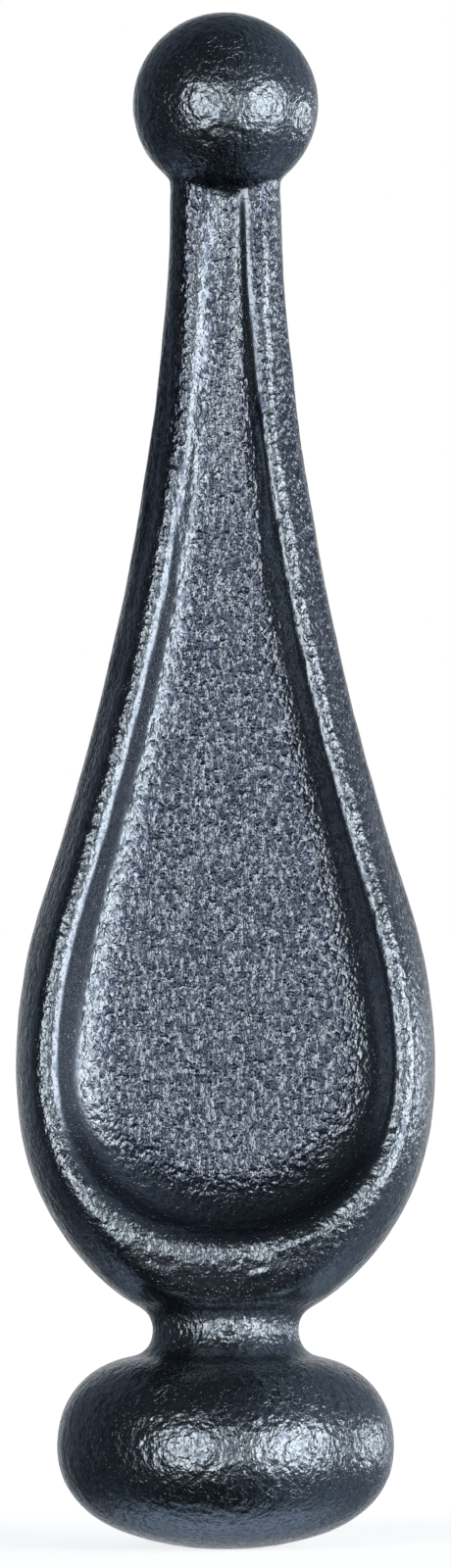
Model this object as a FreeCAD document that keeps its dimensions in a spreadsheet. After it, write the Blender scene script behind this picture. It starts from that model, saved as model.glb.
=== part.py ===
import FreeCAD, Part
import math
import os
import Sketcher

# Railing spear finial, forged in one piece. It stands upright on the small flat under its bun, with
# the origin at the middle of that flat, +Z up and the front of the leaf towards -Y. Millimetres and
# degrees throughout.

# Driving sizes. A height is measured up from the flat, a rise up from the foot of the leaf, and a
# half width or half thickness out from the upright axis.
SIZES = {
    "overall_height": 150.0,
    "ball_diameter": 18.1,
    "ball_root_fillet": 0.8,
    # How far the neck runs up inside the ball.
    "neck_insertion": 5.0,
    # Front view of the leaf: the control points of one curve from the upper neck to the lower one.
    "upper_neck_diameter": 10.6,
    "upper_neck_run": 25.3,
    "flank_half_width": 15.35,
    "flank_rise": 44.9,
    "haunch_half_width": 19.85,
    "haunch_rise": 37.3,
    "belly_half_width": 22.05,
    "belly_rise": 11.2,
    "shoulder_half_width": 10.4,
    "shoulder_rise": 1.0,
    "lower_neck_diameter": 14.3,
    "lower_neck_length": 4.1,
    # Radius at each end of the lower neck, as a share of the neck's length.
    "lower_neck_fillet_share": 0.57,
    # Outline of the bun: the control points of one curve from the lower neck to the flat.
    "bun_top_height": 18.9,
    "bun_crown_half_width": 13.9,
    "bun_crown_drop": 0.3,
    "bun_side_half_width": 19.2,
    "bun_side_height": 9.8,
    "bun_base_half_width": 13.6,
    "bun_base_height": 1.2,
    "seat_diameter": 5.9,
    # Side view of the leaf: the control points of the curve that its front and back faces follow,
    # which starts as a flat cut this deep into the round of the upper neck.
    "neck_flat_depth": 0.35,
    "neck_flat_run": 25.9,
    "flank_half_thickness": 7.2,
    "flank_face_rise": 63.0,
    "haunch_half_thickness": 9.6,
    "haunch_face_rise": 39.0,
    "belly_half_thickness": 10.9,
    "belly_face_rise": 17.0,
    "shoulder_half_thickness": 11.2,
    "shoulder_face_rise": 5.0,
    "foot_half_thickness": 8.0,
    "foot_face_drop": 0.8,
    "leaf_edge_radius": 3.0,
    # Recess in each face of the leaf: a groove from the ball that opens into a round bowl.
    "bowl_rise": 24.1,
    "floor_half_spacing": 5.05,
    "floor_tilt": 1.93,
    "wall_angle": 50.0,
    "recess_reach": 9.0,
    "rim_radius": 1.6,
}

# Evenly spaced stations of the recess, from the centre of the bowl up its floor: half the width of
# the flat floor, and the radius between the floor and the wall.
STATIONS = [
    ("bowl", 9.2, 8.6),
    ("belly", 7.7, 6.9),
    ("haunch", 4.8, 5.4),
    ("flank", 2.35, 4.0),
    ("groove", 0.95, 2.7),
    ("slot", 0.35, 1.7),
    ("runout", 0.1, 0.9),
]

LEAF_FOOT = "Sizes.bun_top_height + Sizes.lower_neck_length"
FACE_FOOT = LEAF_FOOT + " - Sizes.foot_face_drop"
BOWL_HEIGHT = LEAF_FOOT + " + Sizes.bowl_rise"
LEAF_TOP = "Sizes.overall_height - Sizes.ball_diameter"
NECK_TOP = LEAF_TOP + " + Sizes.neck_insertion"
NECK_FLAT = "Sizes.upper_neck_diameter / 2 - Sizes.neck_flat_depth"
WAIST_FILLET = "Sizes.lower_neck_length * Sizes.lower_neck_fillet_share"
# A cut that has to pass clean through the neck's top ends this far above it.
OVERSHOOT = 1.0
PAST_NECK = f"{NECK_TOP} + {OVERSHOOT}"
# The waste cut from the leaf's faces reaches this far out, well clear of every side.
WASTE_WIDTH = 60.0
# Two faces meet in a crease where they turn by more than this angle.
CREASE_ANGLE = 12.0
CURVE_DEGREE = 3

document = FreeCAD.newDocument("SpearFinial")


def make_sheet():
    """The spreadsheet that holds every driving size under its name."""
    rows = list(SIZES.items())
    for name, half_width, radius in STATIONS:
        rows.append((name + "_floor_half_width", half_width))
        rows.append((name + "_floor_radius", radius))
    cells = document.addObject("Spreadsheet::Sheet", "Sizes")
    for row, (name, value) in enumerate(rows, 1):
        cells.set(f"A{row}", name)
        cells.set(f"B{row}", str(value))
        cells.setAlias(f"B{row}", name)
    document.recompute()
    return cells


sheet = make_sheet()
body = document.addObject("PartDesign::Body", "Finial")
body.Label = "finial"


def size(expression):
    """The present value of an expression in the sheet's names."""
    return float(sheet.evalExpression(expression))


def origin_feature(role):
    return next(item for item in body.Origin.OriginFeatures if item.Role == role)


def new_sketch(name, role):
    sketch = body.newObject("Sketcher::SketchObject", name)
    sketch.AttachmentSupport = (origin_feature(role), [""])
    sketch.MapMode = "FlatFace"
    return sketch


def new_feature(kind, name, **properties):
    feature = body.newObject(kind, name)
    for key, value in properties.items():
        setattr(feature, key, value)
    document.recompute()
    return feature


def relate(sketch, kind, *target):
    sketch.addConstraint(Sketcher.Constraint(kind, *target))


def hold(sketch, kind, target, expression):
    """Add one measured constraint and bind it to the sheet."""
    index = sketch.addConstraint(Sketcher.Constraint(kind, *target, size(expression)))
    sketch.setExpression(f"Constraints[{index}]", expression)


def hold_angle(sketch, line, expression):
    """Hold a line at an angle to the first axis."""
    slope = math.radians(size(expression))
    index = sketch.addConstraint(Sketcher.Constraint("Angle", line, slope))
    sketch.setExpression(f"Constraints[{index}]", f"{expression} * 1deg")


def hold_point(sketch, geometry, position, across, up):
    hold(sketch, "DistanceX", (-1, 1, geometry, position), across)
    hold(sketch, "DistanceY", (-1, 1, geometry, position), up)


def add_line(sketch, start, end):
    return sketch.addGeometry(Part.LineSegment(FreeCAD.Vector(*start), FreeCAD.Vector(*end)))


def add_curve(sketch, control_points):
    """One smooth curve whose control points are all held by sizes in the sheet."""
    poles = [FreeCAD.Vector(size(across), size(up), 0) for across, up in control_points]
    spans = len(poles) - CURVE_DEGREE
    knots = [index / spans for index in range(spans + 1)]
    multiplicities = [CURVE_DEGREE + 1] + [1] * (spans - 1) + [CURVE_DEGREE + 1]
    curve = Part.BSplineCurve()
    curve.buildFromPolesMultsKnots(poles, multiplicities, knots, False, CURVE_DEGREE)
    geometry = sketch.addGeometry(curve)
    first_pole = geometry + 1
    sketch.exposeInternalGeometry(geometry)
    for index, (across, up) in enumerate(control_points):
        hold_point(sketch, first_pole + index, 3, across, up)
    return geometry


def close_loop(sketch, geometry):
    """Join each piece's end to the start of the next."""
    for first, second in zip(geometry, geometry[1:] + geometry[:1]):
        relate(sketch, "Coincident", first, 2, second, 1)


def creased_edges(shape, lowest, highest):
    """Names of the sharp edges whose lowest points lie between two heights."""
    names = []
    for number, edge in enumerate(shape.Edges, 1):
        if not lowest < edge.BoundBox.ZMin < highest:
            continue
        faces = shape.ancestorsOfType(edge, Part.Face)
        if len(faces) != 2:
            continue
        middle = edge.valueAt((edge.FirstParameter + edge.LastParameter) / 2)
        normals = [face.normalAt(*face.Surface.parameter(middle)) for face in faces]
        if math.degrees(normals[0].getAngle(normals[1])) > CREASE_ANGLE:
            names.append(f"Edge{number}")
    return names


def round_creases(name, radius, lowest, highest):
    """Round every crease of the body between two heights."""
    base = body.Tip
    edges = creased_edges(base.Shape, size(lowest), size(highest))
    rounding = new_feature("PartDesign::Fillet", name, Base=(base, edges))
    rounding.setExpression("Radius", radius)
    document.recompute()


def repeat_in_front(name, originals):
    """The same features on the front, half a turn round the upright axis."""
    pattern = new_feature("PartDesign::PolarPattern", name, Originals=originals,
                          Axis=(origin_feature("Z_Axis"), [""]), Angle=360.0, Occurrences=2)
    body.Tip = pattern
    document.recompute()


def turn_form():
    """Leaf, necks and bun as round forms about the axis."""
    sketch = new_sketch("FrontView", "XZ_Plane")
    leaf = add_curve(sketch, [
        ("Sizes.upper_neck_diameter / 2", NECK_TOP),
        ("Sizes.upper_neck_diameter / 2", NECK_TOP + " - Sizes.upper_neck_run"),
        ("Sizes.flank_half_width", LEAF_FOOT + " + Sizes.flank_rise"),
        ("Sizes.haunch_half_width", LEAF_FOOT + " + Sizes.haunch_rise"),
        ("Sizes.belly_half_width", LEAF_FOOT + " + Sizes.belly_rise"),
        ("Sizes.shoulder_half_width", LEAF_FOOT + " + Sizes.shoulder_rise"),
        ("Sizes.lower_neck_diameter / 2", LEAF_FOOT),
    ])
    bun = add_curve(sketch, [
        ("Sizes.lower_neck_diameter / 2", "Sizes.bun_top_height"),
        ("Sizes.bun_crown_half_width", "Sizes.bun_top_height - Sizes.bun_crown_drop"),
        ("Sizes.bun_side_half_width", "Sizes.bun_side_height"),
        ("Sizes.bun_base_half_width", "Sizes.bun_base_height"),
        ("Sizes.seat_diameter / 2", "0"),
    ])
    neck_radius = size("Sizes.upper_neck_diameter / 2")
    waist_radius = size("Sizes.lower_neck_diameter / 2")
    seat_radius = size("Sizes.seat_diameter / 2")
    top = size(NECK_TOP)
    waist = add_line(sketch, (waist_radius, size(LEAF_FOOT)),
                     (waist_radius, size("Sizes.bun_top_height")))
    seat = add_line(sketch, (seat_radius, 0), (0, 0))
    axis = add_line(sketch, (0, 0), (0, top))
    cap = add_line(sketch, (0, top), (neck_radius, top))
    close_loop(sketch, [leaf, waist, bun, seat, axis, cap])
    relate(sketch, "Coincident", axis, 1, -1, 1)
    relate(sketch, "PointOnObject", axis, 2, -2)
    relate(sketch, "Horizontal", cap)
    new_feature("PartDesign::Revolution", "TurnedForm", Profile=sketch,
                ReferenceAxis=(sketch, ["V_Axis"]), Angle=360.0)
    round_creases("WaistFillets", WAIST_FILLET, f"Sizes.bun_top_height - {OVERSHOOT}",
                  f"{LEAF_FOOT} + {OVERSHOOT}")


def flatten_leaf():
    """Cut the back and front of the leaf down to its side view and round the edges this leaves."""
    sketch = new_sketch("SideView", "YZ_Plane")
    face = add_curve(sketch, [
        (NECK_FLAT, PAST_NECK),
        (NECK_FLAT, PAST_NECK + " - Sizes.neck_flat_run"),
        ("Sizes.flank_half_thickness", LEAF_FOOT + " + Sizes.flank_face_rise"),
        ("Sizes.haunch_half_thickness", LEAF_FOOT + " + Sizes.haunch_face_rise"),
        ("Sizes.belly_half_thickness", LEAF_FOOT + " + Sizes.belly_face_rise"),
        ("Sizes.shoulder_half_thickness", LEAF_FOOT + " + Sizes.shoulder_face_rise"),
        ("Sizes.foot_half_thickness", FACE_FOOT),
    ])
    top = size(PAST_NECK)
    foot = size(FACE_FOOT)
    lower = add_line(sketch, (size("Sizes.foot_half_thickness"), foot), (WASTE_WIDTH, foot))
    outer = add_line(sketch, (WASTE_WIDTH, foot), (WASTE_WIDTH, top))
    upper = add_line(sketch, (WASTE_WIDTH, top), (size(NECK_FLAT), top))
    close_loop(sketch, [face, lower, outer, upper])
    relate(sketch, "Horizontal", lower)
    relate(sketch, "Vertical", outer)
    relate(sketch, "Horizontal", upper)
    relate(sketch, "DistanceX", -1, 1, outer, 1, WASTE_WIDTH)
    cut = new_feature("PartDesign::Pocket", "BackFace", Profile=sketch, Type="ThroughAll",
                      Midplane=True)
    repeat_in_front("FrontFace", [cut])
    round_creases("LeafEdges", "Sizes.leaf_edge_radius", FACE_FOOT,
                  f"{NECK_TOP} - {OVERSHOOT}")


def place_on_floor(sketch, index):
    """Set a sketch square across the recess at a station, its first axis on the recess floor."""
    share = index / (len(STATIONS) - 1)
    rise = f"{share} * ({PAST_NECK} - ({BOWL_HEIGHT}))"
    floor_out = f"Sizes.floor_half_spacing - {rise} * tan(Sizes.floor_tilt * 1deg)"
    floor_up = f"{BOWL_HEIGHT} + {rise}"
    sketch.AttachmentOffset = FreeCAD.Placement(
        FreeCAD.Vector(0, size(floor_out), size(floor_up)),
        FreeCAD.Rotation(FreeCAD.Vector(1, 0, 0), size("Sizes.floor_tilt")))
    sketch.setExpression("AttachmentOffset.Base.y", floor_out)
    sketch.setExpression("AttachmentOffset.Base.z", floor_up)
    sketch.setExpression("AttachmentOffset.Rotation.Angle", "Sizes.floor_tilt")
    document.recompute()


def draw_half(sketch, station, side):
    """Floor, root arc, drafted wall and open top on one side of the recess."""
    flat = size(f"Sizes.{station}_floor_half_width")
    radius = size(f"Sizes.{station}_floor_radius")
    reach = size("Sizes.recess_reach")
    slope = math.radians(size("Sizes.wall_angle"))
    root_out = flat + radius * math.sin(slope)
    root_up = radius * (1 - math.cos(slope))
    wall_out = root_out + (reach - root_up) / math.tan(slope)
    circle = Part.Circle(FreeCAD.Vector(side * flat, radius, 0), FreeCAD.Vector(0, 0, 1), radius)
    lowest = -math.pi / 2
    sweep = sorted([lowest, lowest + side * slope])
    floor = add_line(sketch, (0, 0), (side * flat, 0))
    root = sketch.addGeometry(Part.ArcOfCircle(circle, *sweep))
    wall = add_line(sketch, (side * root_out, root_up), (side * wall_out, reach))
    top = add_line(sketch, (side * wall_out, reach), (0, reach))
    root_start, root_end = (1, 2) if side > 0 else (2, 1)
    relate(sketch, "Tangent", floor, 2, root, root_start)
    relate(sketch, "Tangent", root, root_end, wall, 1)
    relate(sketch, "Coincident", wall, 2, top, 1)
    return floor, root, wall, top


def hold_right_half(sketch, station, floor, root, wall, top):
    relate(sketch, "Coincident", floor, 1, -1, 1)
    relate(sketch, "Horizontal", floor)
    relate(sketch, "Horizontal", top)
    hold(sketch, "DistanceX", (-1, 1, floor, 2), f"Sizes.{station}_floor_half_width")
    hold(sketch, "Radius", (root,), f"Sizes.{station}_floor_radius")
    hold_angle(sketch, wall, "Sizes.wall_angle")
    hold(sketch, "DistanceY", (-1, 1, wall, 2), "Sizes.recess_reach")
    relate(sketch, "PointOnObject", top, 2, -2)


def draw_section(index, station):
    """The whole cross-section of the recess at one station, alike on both sides."""
    sketch = new_sketch(station.capitalize() + "Section", "XY_Plane")
    place_on_floor(sketch, index)
    right = draw_half(sketch, station, 1)
    left = draw_half(sketch, station, -1)
    hold_right_half(sketch, station, *right)
    right_floor, right_root, right_wall, right_top = right
    left_floor, left_root, left_wall, left_top = left
    relate(sketch, "Coincident", right_floor, 1, left_floor, 1)
    relate(sketch, "Coincident", right_top, 2, left_top, 2)
    relate(sketch, "Equal", right_root, left_root)
    relate(sketch, "Symmetric", right_floor, 2, left_floor, 2, -2)
    relate(sketch, "Symmetric", right_wall, 2, left_wall, 2, -2)
    return sketch


def draw_bowl_profile():
    """The right half of the bowl's cross-section, closed along the axis the bowl turns about."""
    sketch = new_sketch("BowlProfile", "XY_Plane")
    place_on_floor(sketch, 0)
    half = draw_half(sketch, "bowl", 1)
    hold_right_half(sketch, "bowl", *half)
    floor, top = half[0], half[-1]
    axis = add_line(sketch, (0, size("Sizes.recess_reach")), (0, 0))
    relate(sketch, "Coincident", top, 2, axis, 1)
    relate(sketch, "Coincident", axis, 2, floor, 1)
    return sketch


def sink_recess():
    """Sink the teardrop recess into the back and the front, and round its rim."""
    sections = [draw_section(index, station[0]) for index, station in enumerate(STATIONS)]
    groove = new_feature("PartDesign::SubtractiveLoft", "RecessGroove", Profile=sections[0],
                         Sections=sections[1:])
    profile = draw_bowl_profile()
    bowl = new_feature("PartDesign::Groove", "RecessBowl", Profile=profile,
                       ReferenceAxis=(profile, ["V_Axis"]), Angle=180.0)
    repeat_in_front("FrontRecess", [groove, bowl])
    round_creases("RimRounding", "Sizes.rim_radius", FACE_FOOT,
                  f"{NECK_TOP} - {OVERSHOOT}")


def add_ball():
    """The ball at the tip, which swallows the top of the neck and the ends of both grooves."""
    ball = new_feature("PartDesign::AdditiveSphere", "Ball")
    ball.setExpression("Radius", "Sizes.ball_diameter / 2")
    ball.setExpression("Placement.Base.z", "Sizes.overall_height - Sizes.ball_diameter / 2")
    document.recompute()
    round_creases("BallRoot", "Sizes.ball_root_fillet", f"{LEAF_TOP} - {OVERSHOOT}", NECK_TOP)


def check_model():
    """Stop if any object of the document failed or the finished solid is not sound."""
    for item in document.Objects:
        if "Invalid" in item.State or "Error" in item.State:
            raise RuntimeError(f"{item.Name} failed: {item.State}")
    shape = body.Shape
    if shape.isNull() or not shape.isValid() or len(shape.Solids) != 1:
        raise RuntimeError("the finial is not one sound solid")


turn_form()
flatten_leaf()
sink_recess()
add_ball()
check_model()
os.makedirs("parts", exist_ok=True)
body.Shape.exportStep(f"parts/{body.Label}.step")
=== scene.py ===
import math

import bmesh
import bpy
import numpy as np
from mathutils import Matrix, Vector, noise


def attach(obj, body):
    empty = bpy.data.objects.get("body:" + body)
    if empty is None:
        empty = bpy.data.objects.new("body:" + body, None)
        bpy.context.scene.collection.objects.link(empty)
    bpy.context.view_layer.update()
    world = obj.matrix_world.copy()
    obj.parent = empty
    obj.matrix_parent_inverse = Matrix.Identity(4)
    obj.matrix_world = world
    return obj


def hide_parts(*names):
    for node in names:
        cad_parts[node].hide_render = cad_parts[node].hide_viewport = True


# The railing spear finial as it looks: one piece of dark forged iron, in metres, upright on its seat
# with the front of the leaf towards -Y. The surface is built anew over the CAD solid at a fine even
# spacing, so that it can carry the unevenness, the laps and the nicks that forging left in it.
# A share, in all that follows, is a value from 0 to 1.

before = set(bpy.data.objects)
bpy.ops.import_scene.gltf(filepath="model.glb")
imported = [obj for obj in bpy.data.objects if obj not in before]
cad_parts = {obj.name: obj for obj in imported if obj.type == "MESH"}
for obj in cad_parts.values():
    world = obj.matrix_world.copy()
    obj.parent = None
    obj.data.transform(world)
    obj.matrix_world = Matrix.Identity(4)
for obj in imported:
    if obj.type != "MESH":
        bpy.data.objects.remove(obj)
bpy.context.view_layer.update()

MM = 0.001

# Skin: how near each other points of the CAD mesh are welded, the spacing of the new points, and the
# smoothing that takes off the steps between them.
WELD_DISTANCE = 0.0001 * MM
SPACING = 0.42 * MM
SMOOTHING_ROUNDS = 8
SMOOTHING_STEPS = (0.6, -0.62)
# Unevenness leaves out the seat, up to this height. The skin is measured in rings of this height.
SEAT_TOP = 0.3 * MM
RING_STEP = 1 * MM
# A direction away from an axis is worked out with at least this distance from it.
LEAST_RADIUS = 1 * MM

# Recess, the same on the front and the back: the height of the middle of its round end, how far the
# crest of its rim is from there, its floor's depth there, from the finial's middle plane, and its slope.
BOWL_HEIGHT = 47.1 * MM
RIM_FROM_BOWL = 17.8 * MM
FLOOR_DEPTH = 5.05 * MM
FLOOR_TILT = math.radians(1.93)
# Heights between which it has a rim, the lowest height of its floor, and its end below the ball.
RIM_BOTTOM = 29 * MM
RIM_TOP = 131 * MM
FLOOR_BOTTOM = 30 * MM
GROOVE_END = 135 * MM
# Above these heights it grows shallower, the left half, seen from its own side, sooner than the right,
# down to this share of its depth at its end. A higher power keeps it deep for longer. The two halves
# blend over this width.
SHALLOW_LEFT_FROM = 88 * MM
SHALLOW_LEFT_POWER = 1.2
SHALLOW_RIGHT_FROM = 96 * MM
SHALLOW_RIGHT_POWER = 1.5
SHALLOW_SHARE = 0.25
HALVES_BLEND = 2 * MM
# Points nearer the finial's middle plane than this belong to neither recess.
CORE_HALF_DEPTH = 1 * MM
# The bottom of its rim is rounded more broadly: rounds and step of the smoothing, how far it reaches on
# each side of the crest, and how far below the middle of the bowl it is full.
BROAD_RIM_ROUNDS = 19
BROAD_RIM_STEP = 0.5
BROAD_RIM_REACH = 1.6 * MM
BROAD_RIM_DROP = 0.8 * RIM_FROM_BOWL

# What counts as its floor: how squarely a point faces front or back, how far it is above the floor,
# how deep it is beside the rim's crest, and over which height this goes out at the recess's end.
FLOOR_FACING = (0.8, 0.95)
FLOOR_CLIMB = (0.3 * MM, 2.3 * MM)
FLOOR_WITHIN_RIM = 0.97
FLOOR_END_FADE = 3 * MM
# What counts as the crest of its rim: how squarely a point faces front or back, how far it leans away
# from the recess, and how near the crest it is round the bowl.
CREST_FACING = (0.9, 0.96)
CREST_LEAN = (-0.1, 0)
CREST_REACH = 1.2 * MM
# What counts as its wall: at two shares of the climb from the floor to the crest, how far a point has to
# lean inward, then over how much more lean it is full, and at which share of the climb it ends.
WALL_CLIMBS = (0.3, 0.6)
WALL_LEANS = (0.62, 0.27)
WALL_LEAN_FADE = 0.14
WALL_TOP_CLIMB = 1.02
# The share of its smoothness that a wall loses at the bottom of the bowl, and up the neck on the left
# and on the right, over this height.
WALL_LOSS_BELOW = 0.5
WALL_LOSS_LEFT = 0.75
WALL_LOSS_RIGHT = 0.1
WALL_LOSS_HEIGHT = 20 * MM

# The outer edges of the leaf's flanks are flattened to slopes, which come in and go out between these
# heights: how far in from the silhouette the flattening is deepest, how wide and how deep it is, and
# how far from the middle plane it is full.
SLOPE_HEIGHTS = np.array([50, 62, 112, 126]) * MM
SLOPE_MIDDLE = 0.8 * MM
SLOPE_WIDTH = 1.26 * MM
SLOPE_DEPTH = 0.9 * MM
SLOPE_FULL_FROM = 4 * MM

# The lower neck is pinched a little higher on the front and back than on the sides: the height of its
# narrowest place, how far that is lifted, and over what reach.
WAIST_HEIGHT = 21.6 * MM
WAIST_LIFT = 0.85 * MM
WAIST_REACH = 1.9 * MM
# Height and reach of the rough iron on the lower neck, and of the smooth foot of the leaf above it.
ROUGH_WAIST_HEIGHT = 21.9 * MM
ROUGH_WAIST_REACH = 1.7 * MM
SHOULDER_HEIGHT = 25.8 * MM
SHOULDER_REACH = 2.2 * MM

# Long drawn-out streaks up the upper neck, which come in and go out between these heights.
STREAK_HEIGHTS = np.array([82, 104, 131, 134]) * MM
STREAK_WIDTH = 1.3 * MM
STREAK_LENGTH = 16 * MM
STREAK_RISE = 0.13 * MM
# Painted shade darkens the floor of the recess, and goes out there between these two heights.
FLOOR_SHADE_HEIGHTS = (100 * MM, 116 * MM)
# Painted shade darkens about this share of the upper neck, coming in and going out between these
# heights. A streak takes it off, the more so the higher it rises, and a hollow between two streaks keeps
# it.
NECK_SHADE = 0.55
NECK_SHADE_HEIGHTS = np.array([90, 112, 133, 136]) * MM
STREAK_SHADE_LOSS = 2.4

# Unevenness left by the hammer and the die: width of the waves and how far they rise.
WAVES = [
    (7.0 * MM, 0.05 * MM),
    (2.6 * MM, 0.028 * MM),
    (1.15 * MM, 0.026 * MM),
]
# Their width as a share of their length up the finial, and the share of their rise that they lose on
# the walls of the recess.
WAVE_SLIMNESS = 0.7
WALL_CALM = 0.6
# Where in the noise they are taken: each size this far from the one before it, and all of them here.
WAVE_SHIFT = 11.0
WAVE_PLACE = (7.0, 3.0)

# Marks on the front, seen from the front, in millimetres: middle across and up, slope in degrees,
# length, width, and how far each one rises (a raised lap) or sinks (a nick).
MARKS = [
    (0.7, 143.6, -35.0, 3.4, 0.28, -0.15),
    (0.9, 143.9, -35.0, 3.2, 0.24, 0.10),
    (1.6, 138.3, -14.0, 3.6, 0.20, 0.14),
    (1.2, 137.8, -12.0, 4.4, 0.24, -0.06),
    (17.6, 54.2, 20.0, 1.1, 0.24, -0.14),
    (4.2, 27.4, 14.0, 2.4, 0.30, 0.22),
    (2.9, 26.9, 10.0, 1.6, 0.26, 0.20),
    (7.3, 30.3, 27.0, 10.0, 0.55, 0.20),
    (-4.4, 31.8, 4.0, 2.0, 0.20, 0.06),
    (1.9, 31.9, 2.0, 0.9, 0.20, 0.06),
    (-3.4, 18.5, 8.0, 1.5, 0.20, 0.07),
    (-8.7, 38.6, 28.0, 1.6, 0.22, 0.06),
    (-7.4, 38.9, 60.0, 1.3, 0.22, 0.06),
    (-5.2, 13.0, 8.0, 15.0, 0.22, -0.07),
    (3.4, 14.2, 24.0, 5.0, 0.22, -0.07),
]
# Patches there with many fine scratches, in millimetres: middle across and up, half width and half
# height. The steepness says how soon they are full inside their edge.
SCUFFS = [
    (0.2, 146.3, 2.6, 1.3),
    (6.6, 15.2, 3.2, 1.6),
    (-6.0, 15.6, 1.5, 1.1),
    (6.3, 6.1, 3.0, 0.8),
]
SCUFF_STEEPNESS = 1.5

# Noises of the iron, which lie round 0.5: size of the lumps, finer layers added, and how strong each of
# these is. Scratches run along lines of the net, and patches are in its colour only.
NOISE_MIDDLE = 0.5
PEBBLES = (0.48 * MM, 1.6, 0.6)
WRINKLES = (0.95 * MM, 2.0, 0.5)
SCRATCH_NET = (0.9 * MM, 1.0, 0.5)
FLECKS = (0.24 * MM, 0.0, 0.5)
PATCHES = (9 * MM, 3.0, 0.6)
# Width of the pebbles as a share of their length up the finial.
PEBBLE_SLIMNESS = 0.68
# How far off its middle the net's noise is still in a scratch, and where flecks come in.
SCRATCH_WIDTH = 0.035
FLECK_TURN = (0.68, 0.78)
# How far each rises, in millimetres: grain on smooth and on rough iron, and scratches on plain and on
# scuffed iron.
GRAIN_RISE = (0.09, 0.28)
WRINKLE_RISE = 0.21
SCRATCH_RISE = (0.009, 0.085)
FLECK_RISE = 0.022
# The share left of all but the flecks on the walls of the recess, and of the scratches on rough iron.
WALL_RELIEF = 0.1
ROUGH_SCRATCH = 0.1
# How rough the crest of the rim and the iron under painted shade are, as a share of the recess's floor,
# and how smooth the foot of the leaf is, as a share of the recess's walls.
CREST_COARSENESS = 0.6
PAINTED_SHADE_COARSENESS = 0.6
SHOULDER_SMOOTHNESS = 0.6

# Colours of the iron: its worn tops in two kinds of patch, a darker colour on the walls of the recess
# that is painted shade, the pits between the tops, and the tops and pits under painted shade on the
# recess's floor, the leaf's flanks and the upper neck.
WORN_LIGHT = (0.197, 0.222, 0.242, 1)
WORN_DARK = (0.18, 0.207, 0.228, 1)
# Painted shade: the walls of the recess are coloured darker than the worn tops.
PAINTED_WALL_SHADE = (0.16, 0.182, 0.21, 1)
BARE_PITS = (0.10, 0.12, 0.152, 1)
PAINTED_SHADE_TOPS = (0.162, 0.181, 0.21, 1)
PAINTED_SHADE_PITS = (0.05, 0.061, 0.086, 1)
# Between which values of the noise light patches turn dark, and pits turn to tops in bare iron, under
# painted shade, and in how blurred the iron reflects.
PATCH_TURN = (0.35, 0.65)
BARE_TURN = (0.3, 0.55)
PAINTED_SHADE_TURN = (0.42, 0.62)
BLUR_TURN = (0.3, 0.7)
# How blurred it reflects in the pits and on the tops, and how much more so on the lower neck.
PEBBLE_BLUR = (0.28, 0.20)
WAIST_BLUR = 0.05

# Studio, as reflections show it. A direction is given as parts of a line 1 long: across towards +X,
# along towards +Y, away from the camera, and up. Each pair says between which two values a thing comes
# in or goes out. Off means how far from the middle, either way.
BACKDROP_ALONG = (0.86, 0.98)
FRONT_ACROSS = 0.17
FRONT_OFF_ACROSS = (0.2, 0.36)
FRONT_OFF_LEVEL = (0.18, 0.3)
FRONT_ALONG = (-0.8, -0.7)
TABLE_UP = (-0.75, -0.45)
TABLE_ALONG = (-0.1, 0.35)
TABLE_OFF_ACROSS = (0.3, 0.6)
TABLE_SIDE_SHARE = 0.25
RIGHT_ACROSS = (-0.1, 0.9)
BESIDE_ALONG = (0.15, 0.5)
BESIDE_UP = (-0.35, -0.1)
ROOM_UP = (-0.98, -0.6)
# How bright each is, where a pair is for low down and for higher up. Matt surfaces get the ambient light
# instead.
BACKDROP_LIGHT = 0.8
FRONT_LIGHT = 0.55
TABLE_LIGHT = 0.6
RIGHT_LIGHT = 0.2
BESIDE_LIGHT = (0.02, 0.1)
ROOM_LIGHT = (0.01, 0.055)
AMBIENT_LIGHT = 0.12
# The colour of what is white there, and of the rest.
WHITE = (1, 1, 1, 1)
COOL_TINT = (0.82, 0.97, 1.2, 1)

# Floor: half its width, its paint, and the white glow that only the camera sees on it, less near the
# finial, where its shadow falls, than farther away. It grows between these distances from the seat.
FLOOR_HALF_WIDTH = 6.0
FLOOR_PAINT = (0.8, 0.8, 0.8, 1)
FLOOR_WHITE = (0.79, 1.0)
SHADOW_REACH = (40 * MM, 160 * MM)

# Camera: straight on, from far off, so that the whole 460 by 1600 picture spans the finial.
PICTURE_HEIGHT = 153.16 * MM
VIEW_HEIGHT = 74.6 * MM
CAMERA_DISTANCE = 1.5
SENSOR_HEIGHT = 36.0
FARTHEST_SEEN = 50.0

# Lamps: how far round from the camera's side, towards +X, how far up from the finial's middle, how
# wide and how high each looks from there, in degrees, and its brightness.
LAMP_DISTANCE = 1.2
LAMPS = {
    "left_softbox": (-25.0, 0.0, 38.0, 38.0, 3.8),
    "right_softbox": (51.0, 0.0, 46.0, 38.0, 4.5),
    "rim_softbox": (119.0, -2.5, 32.0, 14.0, 4.2),
}


def fade(values, none, full):
    """0 at one value and 1 at the other, straight between them and level beyond."""
    return np.clip((values - none) / (full - none), 0, 1)


def hill(values, middle, reach):
    """1 at a middle value, falling softly to 0 on both sides of it."""
    return np.exp(-((values - middle) / reach) ** 2)


def come_and_go(values, stations):
    """0, 1, 1 and 0 at four stations, straight between them and 0 beyond."""
    return np.interp(values, stations, (0, 1, 1, 0))


def noise_at(points, sizes, offset=(0, 0, 0)):
    """Soft noise round 0, with lumps of these sizes along the three axes."""
    place = Vector(offset)
    return np.array([noise.noise(Vector(point) + place) for point in points / sizes])


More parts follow.
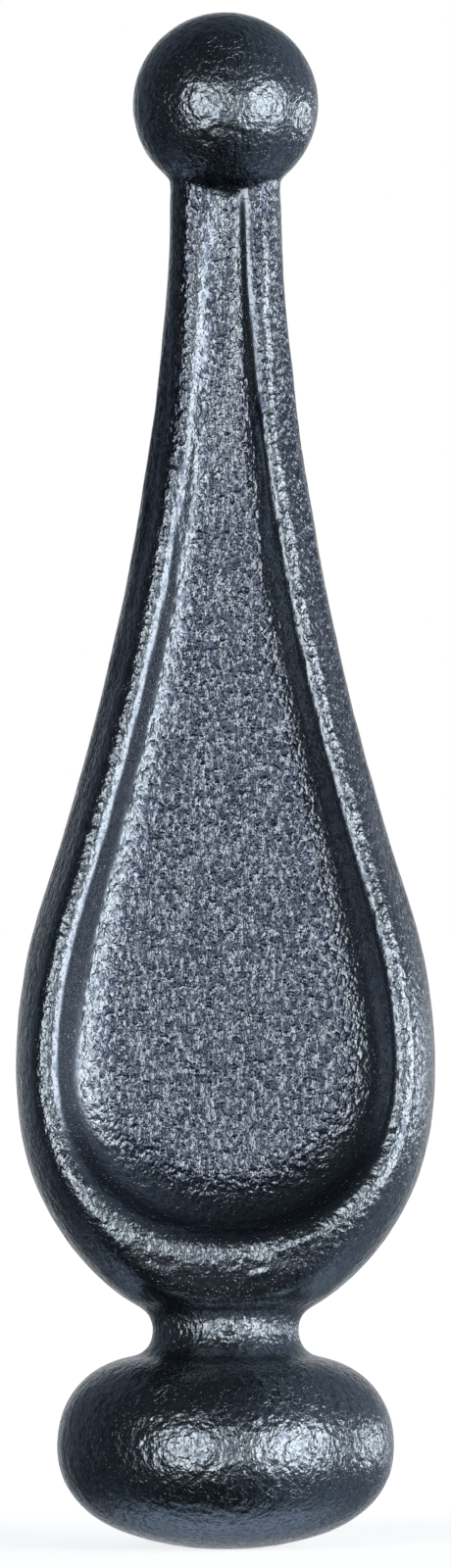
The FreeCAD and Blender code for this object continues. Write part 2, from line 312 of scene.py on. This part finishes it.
def even_skin(source):
    """A closed mesh of even quads over the surface of the CAD solid."""
    mesh = bmesh.new()
    mesh.from_mesh(source.data)
    bmesh.ops.remove_doubles(mesh, verts=mesh.verts, dist=WELD_DISTANCE)
    welded = bpy.data.meshes.new("welded")
    mesh.to_mesh(welded)
    mesh.free()
    shell = bpy.data.objects.new("shell", welded)
    bpy.context.scene.collection.objects.link(shell)
    remesh = shell.modifiers.new("even", "REMESH")
    remesh.mode = "VOXEL"
    remesh.voxel_size = SPACING
    remesh.adaptivity = 0.0
    depsgraph = bpy.context.evaluated_depsgraph_get()
    skin = bpy.data.meshes.new_from_object(shell.evaluated_get(depsgraph))
    bpy.data.objects.remove(shell)
    return skin


def read_points(mesh):
    points = np.empty(len(mesh.vertices) * 3)
    mesh.vertices.foreach_get("co", points)
    return points.reshape(-1, 3)


def read_normals(mesh):
    normals = np.empty(len(mesh.vertices) * 3)
    mesh.vertices.foreach_get("normal", normals)
    return normals.reshape(-1, 3)


def write_points(mesh, points):
    mesh.vertices.foreach_set("co", points.ravel())
    mesh.update()


def relax(mesh, rounds, steps, weights=1.0):
    """Move each point towards, or by a negative step away from, the middle of its neighbours."""
    edges = np.empty(len(mesh.edges) * 2, dtype=np.int64)
    mesh.edges.foreach_get("vertices", edges)
    first, second = edges.reshape(-1, 2).T
    points = read_points(mesh)
    count = len(points)
    neighbours = np.bincount(first, minlength=count) + np.bincount(second, minlength=count)
    for _ in range(rounds):
        for step in steps:
            total = np.empty_like(points)
            for axis in range(3):
                total[:, axis] = np.bincount(first, points[second, axis], count)
                total[:, axis] += np.bincount(second, points[first, axis], count)
            points += weights * step * (total / neighbours[:, None] - points)
    write_points(mesh, points)


def ring_at(points, height):
    """The points of the skin at about one height."""
    return points[np.abs(points[:, 2] - height) < RING_STEP / 2]


def rim_crest(points):
    """How far across and how far out the crest of the recess's rim lies, height by height."""
    heights = np.arange(RIM_BOTTOM, RIM_TOP + RING_STEP / 2, RING_STEP)
    across = np.empty(len(heights))
    depth = np.empty(len(heights))
    for index, height in enumerate(heights):
        ring = ring_at(points, height)
        top = ring[np.argmax(np.abs(ring[:, 1]))]
        across[index] = abs(top[0])
        depth[index] = abs(top[1])
    return heights, across, depth


def recess_shape(points, crest):
    """Depth of the recess's floor and of its rim's crest at each point's height."""
    heights, _, crest_depth = crest
    floor = FLOOR_DEPTH - (points[:, 2] - BOWL_HEIGHT) * math.tan(FLOOR_TILT)
    return floor, np.interp(points[:, 2], heights, crest_depth)


def kept_depth(heights, start, power):
    """The share of its depth that the groove keeps above the height where it starts to run out."""
    return 1 - (1 - SHALLOW_SHARE) * fade(heights, start, GROOVE_END) ** power


def fill_groove(points, crest):
    """Make the upper end of the recess shallower, so that it runs out softly below the ball."""
    heights, across, crest_depth = crest
    half_width = np.interp(points[:, 2], heights, across)
    outer = np.interp(points[:, 2], heights, crest_depth)
    aside = -points[:, 0] * np.sign(points[:, 1])
    right = np.clip(0.5 + aside / HALVES_BLEND, 0, 1)
    kept = right * kept_depth(points[:, 2], SHALLOW_RIGHT_FROM, SHALLOW_RIGHT_POWER)
    kept += (1 - right) * kept_depth(points[:, 2], SHALLOW_LEFT_FROM, SHALLOW_LEFT_POWER)
    depth = np.abs(points[:, 1])
    inside = (np.abs(points[:, 0]) < half_width) & (points[:, 2] < GROOVE_END)
    inside &= (depth < outer) & (depth > CORE_HALF_DEPTH)
    filled = outer - kept * (outer - depth)
    points[inside, 1] = np.sign(points[inside, 1]) * filled[inside]


def broaden_rim(mesh):
    """Round the bottom of the recess's rim, where it turns below the bowl."""
    points = read_points(mesh)
    below = fade(BOWL_HEIGHT - points[:, 2], 0, BROAD_RIM_DROP)
    from_bowl = np.hypot(points[:, 0], points[:, 2] - BOWL_HEIGHT)
    weights = below * hill(from_bowl, RIM_FROM_BOWL, BROAD_RIM_REACH)
    relax(mesh, BROAD_RIM_ROUNDS, (BROAD_RIM_STEP,), weights[:, None])


def flank_share(points):
    """1 along the outer edges of the leaf's flanks, front and back, fading to 0 on its faces."""
    heights = np.arange(SLOPE_HEIGHTS[0], SLOPE_HEIGHTS[-1], RING_STEP)
    half_widths = [np.abs(ring_at(points, height)[:, 0]).max() for height in heights]
    from_side = np.interp(points[:, 2], heights, half_widths) - np.abs(points[:, 0])
    near_side = hill(from_side, SLOPE_MIDDLE, SLOPE_WIDTH)
    return near_side * come_and_go(points[:, 2], SLOPE_HEIGHTS)


def slope_flanks(points, flank):
    """Flatten the rounded outer edges of the leaf, from its flanks up to the neck, to slopes."""
    push = SLOPE_DEPTH * flank * fade(np.abs(points[:, 1]), 0, SLOPE_FULL_FROM)
    points[:, 1] -= np.sign(points[:, 1]) * push


def lift_waist(points):
    """Move the narrowest place of the lower neck up on the front and back."""
    from_axis = np.hypot(points[:, 0], points[:, 1])
    facing = (points[:, 1] / np.maximum(from_axis, LEAST_RADIUS)) ** 2
    points[:, 2] += WAIST_LIFT * facing * hill(points[:, 2], WAIST_HEIGHT, WAIST_REACH)


def wave_heights(points):
    """Rise of the surface at each point, from waves of several sizes."""
    heights = np.zeros(len(points))
    for index, (width, rise) in enumerate(WAVES):
        sizes = (width, width, width / WAVE_SLIMNESS)
        heights += rise * noise_at(points, sizes, (WAVE_SHIFT * index, *WAVE_PLACE))
    return heights


def neck_streaks(points):
    """Long streaks up the finial: above 0 where they rise, below 0 in the hollows between them."""
    return noise_at(points, (STREAK_WIDTH, STREAK_WIDTH, STREAK_LENGTH))


def streak_heights(points, streaks):
    """Rise of the surface at each point, from the long streaks on the upper neck."""
    return STREAK_RISE * streaks * come_and_go(points[:, 2], STREAK_HEIGHTS)


def mark_heights(points, normals):
    """Rise of the surface at each point, from the marks on the front."""
    heights = np.zeros(len(points))
    front = normals[:, 1] < 0
    for across, up, slope, length, width, rise in MARKS:
        turn = math.radians(slope)
        right = points[:, 0] / MM - across
        above = points[:, 2] / MM - up
        along = right * math.cos(turn) + above * math.sin(turn)
        aside = above * math.cos(turn) - right * math.sin(turn)
        reach = np.clip(1 - (2 * along / length) ** 2, 0, 1)
        heights += front * rise * MM * reach * hill(aside, 0, width)
    return heights


def scuff_share(points, normals):
    """1 in the middle of each scuffed patch on the front, fading to 0 at its edge."""
    share = np.zeros(len(points))
    for across, up, half_width, half_height in SCUFFS:
        right = (points[:, 0] / MM - across) / half_width
        above = (points[:, 2] / MM - up) / half_height
        patch = np.clip(SCUFF_STEEPNESS * (1 - right ** 2 - above ** 2), 0, 1)
        share = np.maximum(share, patch)
    return share * (normals[:, 1] < 0)


def outwardness(points, normals):
    """How far each normal leans away from the middle line of the recess, or from its round end."""
    above_bowl = np.minimum(points[:, 2] - BOWL_HEIGHT, 0)
    from_middle = np.maximum(np.hypot(points[:, 0], above_bowl), LEAST_RADIUS)
    return (points[:, 0] * normals[:, 0] + above_bowl * normals[:, 2]) / from_middle


def floor_share(points, normals, crest):
    """1 on the flat floors of the two recesses, fading to 0 up the rounded roots of their walls."""
    floor, rim = recess_shape(points, crest)
    depth = np.abs(points[:, 1])
    facing = fade(np.abs(normals[:, 1]), *FLOOR_FACING)
    level = 1 - fade(depth - floor, *FLOOR_CLIMB)
    inside = (points[:, 2] > FLOOR_BOTTOM) & (depth < FLOOR_WITHIN_RIM * rim)
    return facing * level * inside * fade(points[:, 2], GROOVE_END, GROOVE_END - FLOOR_END_FADE)


def crest_share(points, normals, floor):
    """1 on the outer side of the crest of the recess's rim."""
    above_bowl = np.minimum(points[:, 2] - BOWL_HEIGHT, 0)
    from_bowl = np.hypot(points[:, 0], above_bowl)
    facing = fade(np.abs(normals[:, 1]), *CREST_FACING)
    outside = fade(outwardness(points, normals), *CREST_LEAN)
    near_rim = hill(from_bowl, RIM_FROM_BOWL, CREST_REACH)
    on_leaf = np.where(above_bowl < 0, near_rim, points[:, 2] < RIM_TOP)
    return facing * outside * on_leaf * (1 - floor)


def wall_share(points, normals, crest):
    """1 on the smooth walls of the recesses and on the rounded edges at their tops."""
    floor, outer = recess_shape(points, crest)
    climb = (np.abs(points[:, 1]) - floor) / (outer - floor)
    least_lean = np.interp(climb, WALL_CLIMBS, WALL_LEANS)
    wall = fade(-outwardness(points, normals) - least_lean, 0, WALL_LEAN_FADE)
    below = fade(BOWL_HEIGHT - points[:, 2], 0, RIM_FROM_BOWL)
    upper = fade(points[:, 2], SHALLOW_LEFT_FROM, SHALLOW_LEFT_FROM + WALL_LOSS_HEIGHT)
    loss = np.where(points[:, 0] * points[:, 1] > 0, WALL_LOSS_LEFT, WALL_LOSS_RIGHT)
    inside = (points[:, 2] > RIM_BOTTOM) & (points[:, 2] < GROOVE_END) & (climb < WALL_TOP_CLIMB)
    return wall * inside * (1 - WALL_LOSS_BELOW * below) * (1 - loss * upper)


def painted_shade_share(points, floor, flank, streaks):
    """How much shade is painted: on the recess's floor, on the flanks and between the streaks."""
    on_floor = floor * (1 - fade(points[:, 2], *FLOOR_SHADE_HEIGHTS))
    hollows = np.clip(NECK_SHADE - STREAK_SHADE_LOSS * streaks, 0, 1)
    on_neck = hollows * come_and_go(points[:, 2], NECK_SHADE_HEIGHTS)
    return np.maximum(np.maximum(on_floor, flank), on_neck)


def set_share(mesh, name, values):
    """Keep one value for each point, which the material reads by this name."""
    attribute = mesh.attributes.new(name, "FLOAT", "POINT")
    attribute.data.foreach_set("value", values.astype(np.float32))


def make_skin(source):
    """The visible finial: an even skin over the CAD solid, reshaped, with its shares and unevenness."""
    skin = even_skin(source)
    relax(skin, SMOOTHING_ROUNDS, SMOOTHING_STEPS)
    broaden_rim(skin)
    points = read_points(skin)
    flank = flank_share(points)
    slope_flanks(points, flank)
    write_points(skin, points)

    normals = read_normals(skin)
    crest = rim_crest(points)
    floor = floor_share(points, normals, crest)
    wall = wall_share(points, normals, crest)
    streaks = neck_streaks(points)
    set_share(skin, "floor", floor)
    set_share(skin, "wall", wall)
    set_share(skin, "crest", crest_share(points, normals, floor))
    set_share(skin, "waist", hill(points[:, 2], ROUGH_WAIST_HEIGHT, ROUGH_WAIST_REACH))
    set_share(skin, "scuff", scuff_share(points, normals))
    # Painted shade on the recess's floor, the leaf's flanks and the hollows of the upper neck, which
    # also coarsens the relief there.
    set_share(skin, "painted_shade", painted_shade_share(points, floor, flank, streaks))
    set_share(skin, "shoulder", hill(points[:, 2], SHOULDER_HEIGHT, SHOULDER_REACH))
    fill_groove(points, crest)
    lift_waist(points)
    write_points(skin, points)

    normals = read_normals(skin)
    rise = wave_heights(points) * (1 - WALL_CALM * wall)
    rise += streak_heights(points, streaks)
    rise += mark_heights(points, normals)
    rise[points[:, 2] < SEAT_TOP] = 0
    write_points(skin, points + normals * rise[:, None])
    skin.shade_smooth()
    piece = bpy.data.objects.new("finial_skin", skin)
    bpy.context.scene.collection.objects.link(piece)
    return piece


class Graph:
    """Short ways to add and join the nodes of one shader."""

    def __init__(self, tree):
        self.tree = tree
        tree.nodes.clear()

    def add(self, kind, inputs=None, **settings):
        node = self.tree.nodes.new(kind)
        for key, value in settings.items():
            setattr(node, key, value)
        for key, value in (inputs or {}).items():
            if isinstance(value, bpy.types.NodeSocket):
                self.tree.links.new(value, node.inputs[key])
            else:
                node.inputs[key].default_value = value
        return node

    def math(self, operation, *values):
        inputs = dict(enumerate(values))
        return self.add("ShaderNodeMath", inputs, operation=operation).outputs[0]

    def plus(self, first, *others):
        for other in others:
            first = self.math("ADD", first, other)
        return first

    def times(self, first, *others):
        for other in others:
            first = self.math("MULTIPLY", first, other)
        return first

    def most(self, first, *others):
        for other in others:
            first = self.math("MAXIMUM", first, other)
        return first

    def centred(self, value):
        """A noise moved so that it lies round 0."""
        return self.math("SUBTRACT", value, NOISE_MIDDLE)

    def ramp(self, value, low, high, to_low=0.0, to_high=1.0):
        inputs = {"Value": value, "From Min": low, "From Max": high, "To Min": to_low, "To Max": to_high}
        return self.add("ShaderNodeMapRange", inputs, interpolation_type="SMOOTHSTEP").outputs[0]

    def noise(self, place, size, layers, strength):
        inputs = {"Vector": place, "Scale": 1 / size, "Detail": layers, "Roughness": strength}
        return self.add("ShaderNodeTexNoise", inputs).outputs["Fac"]

    def mix(self, share, first, second):
        """The first colour, turning into the second as the share grows."""
        inputs = {"Factor": share, 6: first, 7: second}
        return self.add("ShaderNodeMix", inputs, data_type="RGBA").outputs[2]

    def blend(self, share, first, second):
        """The first number, turning into the second as the share grows."""
        return self.add("ShaderNodeMix", {0: share, 2: first, 3: second}).outputs[0]

    def share(self, name):
        """A share that the mesh keeps for each point."""
        return self.add("ShaderNodeAttribute", attribute_name=name).outputs["Fac"]


def iron_roughness(graph):
    """How rough the iron's relief is: 1 on the floor of the recess and on the lower neck."""
    crest = graph.times(graph.share("crest"), CREST_COARSENESS)
    painted_shade = graph.times(graph.share("painted_shade"), PAINTED_SHADE_COARSENESS)
    return graph.most(graph.share("floor"), crest, painted_shade, graph.share("waist"))


def iron_relief(graph, place, pebbles):
    """Height of the fine relief, in millimetres: grain, wrinkles, scratches and flecks."""
    rough = iron_roughness(graph)
    shoulder = graph.times(graph.share("shoulder"), SHOULDER_SMOOTHNESS)
    smooth = graph.most(graph.share("wall"), shoulder)

    grain = graph.times(graph.centred(pebbles), graph.ramp(rough, 0, 1, *GRAIN_RISE))
    wrinkles = graph.times(graph.centred(graph.noise(place, *WRINKLES)), WRINKLE_RISE)
    off_net = graph.math("ABSOLUTE", graph.centred(graph.noise(place, *SCRATCH_NET)))
    scratches = graph.times(
        graph.ramp(off_net, 0, SCRATCH_WIDTH, 1.0, 0.0),
        graph.ramp(graph.share("scuff"), 0, 1, *SCRATCH_RISE),
        graph.ramp(rough, 0, 1, 1.0, ROUGH_SCRATCH))
    flecks = graph.times(graph.ramp(graph.noise(place, *FLECKS), *FLECK_TURN), FLECK_RISE)
    relief = graph.plus(grain, wrinkles, scratches)
    return graph.plus(graph.times(relief, graph.ramp(smooth, 0, 1, 1.0, WALL_RELIEF)), flecks)


def iron_colour(graph, place, pebbles):
    """Dark pits and lighter worn tops, with shade painted darker on the recess's walls and floor, the
    flanks and the upper neck.
    """
    worn = graph.mix(graph.ramp(graph.noise(place, *PATCHES), *PATCH_TURN), WORN_LIGHT, WORN_DARK)
    # Painted shade: the recess's walls take a darker colour.
    worn = graph.mix(graph.share("wall"), worn, PAINTED_WALL_SHADE)
    bare = graph.mix(graph.ramp(pebbles, *BARE_TURN), BARE_PITS, worn)
    # Painted shade: pits and tops darkened on the recess's floor, the leaf's flanks and the upper neck.
    painted_shaded = graph.mix(graph.ramp(pebbles, *PAINTED_SHADE_TURN), PAINTED_SHADE_PITS, PAINTED_SHADE_TOPS)
    return graph.mix(graph.share("painted_shade"), bare, painted_shaded)


def forged_iron():
    """Dark iron with a pebbly skin, worn brighter on its tops."""
    material = bpy.data.materials.new("forged_iron")
    material.use_nodes = True
    graph = Graph(material.node_tree)
    place = graph.add("ShaderNodeTexCoord").outputs["Object"]
    squeeze = {"Vector": place, "Scale": (1, 1, PEBBLE_SLIMNESS)}
    pebbles = graph.noise(graph.add("ShaderNodeMapping", squeeze).outputs[0], *PEBBLES)
    relief = iron_relief(graph, place, pebbles)
    bump = graph.add("ShaderNodeBump", {"Strength": 1.0, "Distance": MM, "Height": relief})
    blur = graph.ramp(pebbles, *BLUR_TURN, *PEBBLE_BLUR)
    surface = graph.add("ShaderNodeBsdfPrincipled", {
        "Base Color": iron_colour(graph, place, pebbles),
        "Metallic": 1.0,
        "Roughness": graph.plus(blur, graph.times(graph.share("waist"), WAIST_BLUR)),
        "Normal": bump.outputs[0],
    })
    graph.add("ShaderNodeOutputMaterial", {"Surface": surface.outputs[0]})
    return material


def ray_kinds(graph):
    """1 for a ray from the camera or through clear glass, and 1 for a ray from a reflection."""
    path = graph.add("ShaderNodeLightPath").outputs
    return graph.most(path["Is Camera Ray"], path["Is Transmission Ray"]), path["Is Glossy Ray"]


def front_share(graph, across, along, up):
    """1 in the soft bright patch behind the camera, between the two front lamps."""
    off_middle = graph.math("ABSOLUTE", graph.math("SUBTRACT", across, FRONT_ACROSS))
    return graph.times(
        graph.ramp(off_middle, *FRONT_OFF_ACROSS, 1.0, 0.0),
        graph.ramp(graph.math("ABSOLUTE", up), *FRONT_OFF_LEVEL, 1.0, 0.0),
        graph.ramp(along, *FRONT_ALONG, 1.0, 0.0))


def table_share(graph, across, along, up):
    """1 on the pale table, which the underside of the bun reflects from below and behind it."""
    return graph.times(
        graph.ramp(up, *TABLE_UP, 1.0, 0.0),
        graph.ramp(along, *TABLE_ALONG),
        graph.ramp(graph.math("ABSOLUTE", across), *TABLE_OFF_ACROSS, 1.0, TABLE_SIDE_SHARE))


def studio_world():
    """White to the camera and behind the finial, a dim room on its other sides."""
    world = bpy.data.worlds.new("studio")
    bpy.context.scene.world = world
    world.use_nodes = True
    graph = Graph(world.node_tree)
    seen, reflection = ray_kinds(graph)
    direction = graph.add("ShaderNodeTexCoord").outputs["Generated"]
    parts = graph.add("ShaderNodeSeparateXYZ", {0: direction}).outputs
    across, along, up = parts[0], parts[1], parts[2]

    backdrop = graph.ramp(along, *BACKDROP_ALONG)
    front = front_share(graph, across, along, up)
    table = table_share(graph, across, along, up)
    right = graph.ramp(across, *RIGHT_ACROSS)
    room = graph.plus(
        graph.times(right, RIGHT_LIGHT),
        graph.times(graph.ramp(along, *BESIDE_ALONG), graph.ramp(up, *BESIDE_UP, *BESIDE_LIGHT)),
        graph.ramp(up, *ROOM_UP, *ROOM_LIGHT),
        graph.times(table, TABLE_LIGHT),
        graph.times(front, FRONT_LIGHT))
    reflected = graph.blend(backdrop, room, BACKDROP_LIGHT)
    unseen = graph.blend(reflection, AMBIENT_LIGHT, reflected)
    background = graph.add("ShaderNodeBackground", {
        "Color": graph.mix(graph.most(seen, backdrop, front), COOL_TINT, WHITE),
        "Strength": graph.blend(seen, unseen, 1.0),
    })
    graph.add("ShaderNodeOutputWorld", {"Surface": background.outputs[0]})


def pale_floor():
    """Pale paint, white to the camera except in the finial's shadow, clear to reflections and lamps."""
    material = bpy.data.materials.new("pale_floor")
    material.use_nodes = True
    graph = Graph(material.node_tree)
    seen, reflection = ray_kinds(graph)
    shadow = graph.add("ShaderNodeLightPath").outputs["Is Shadow Ray"]
    place = graph.add("ShaderNodeTexCoord").outputs["Object"]
    away = graph.add("ShaderNodeVectorMath", {0: place}, operation="LENGTH").outputs["Value"]
    white = graph.ramp(away, *SHADOW_REACH, *FLOOR_WHITE)
    paint = graph.add("ShaderNodeBsdfDiffuse", {"Color": FLOOR_PAINT})
    glow = graph.add("ShaderNodeEmission", {"Color": WHITE, "Strength": graph.times(seen, white)})
    solid = graph.add("ShaderNodeAddShader", {0: paint.outputs[0], 1: glow.outputs[0]})
    clear = graph.add("ShaderNodeBsdfTransparent")
    both = graph.add("ShaderNodeMixShader", {
        0: graph.most(reflection, shadow), 1: solid.outputs[0], 2: clear.outputs[0]})
    graph.add("ShaderNodeOutputMaterial", {"Surface": both.outputs[0]})
    return material


def studio_floor():
    """A wide square floor at the height of the seat."""
    edge = FLOOR_HALF_WIDTH
    corners = [(-edge, -edge, 0), (edge, -edge, 0), (edge, edge, 0), (-edge, edge, 0)]
    mesh = bpy.data.meshes.new("floor")
    mesh.from_pydata(corners, [], [(0, 1, 2, 3)])
    floor = bpy.data.objects.new("floor", mesh)
    bpy.context.scene.collection.objects.link(floor)
    mesh.materials.append(pale_floor())


def add_lamp(name, around, raised, width, height, brightness):
    """A soft box at about the finial's own level, turned to face its middle line."""
    turn = math.radians(around)
    wide = 2 * LAMP_DISTANCE * math.tan(math.radians(width / 2))
    high = 2 * LAMP_DISTANCE * math.tan(math.radians(height / 2))
    level = VIEW_HEIGHT + LAMP_DISTANCE * math.tan(math.radians(raised))
    light = bpy.data.lights.new(name, "AREA")
    light.shape = "RECTANGLE"
    light.size = wide
    light.size_y = high
    light.energy = brightness * math.pi * wide * high
    lamp = bpy.data.objects.new(name, light)
    lamp.location = (LAMP_DISTANCE * math.sin(turn), -LAMP_DISTANCE * math.cos(turn), level)
    lamp.rotation_euler = (math.pi / 2, 0, turn)
    bpy.context.scene.collection.objects.link(lamp)


def add_camera():
    lens = bpy.data.cameras.new("camera")
    lens.sensor_fit = "VERTICAL"
    lens.sensor_height = SENSOR_HEIGHT
    lens.lens = SENSOR_HEIGHT * CAMERA_DISTANCE / PICTURE_HEIGHT
    lens.clip_end = FARTHEST_SEEN
    camera = bpy.data.objects.new("camera", lens)
    camera.location = (0, -CAMERA_DISTANCE, VIEW_HEIGHT)
    camera.rotation_euler = (math.pi / 2, 0, 0)
    bpy.context.scene.collection.objects.link(camera)
    bpy.context.scene.camera = camera


skin = make_skin(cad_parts["finial"])
skin.data.materials.clear()
skin.data.materials.append(forged_iron())
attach(skin, "root")
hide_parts("finial")

studio_world()
studio_floor()
for lamp_name, lamp in LAMPS.items():
    add_lamp(lamp_name, *lamp)
add_camera()
bpy.context.scene.view_settings.view_transform = "Standard"
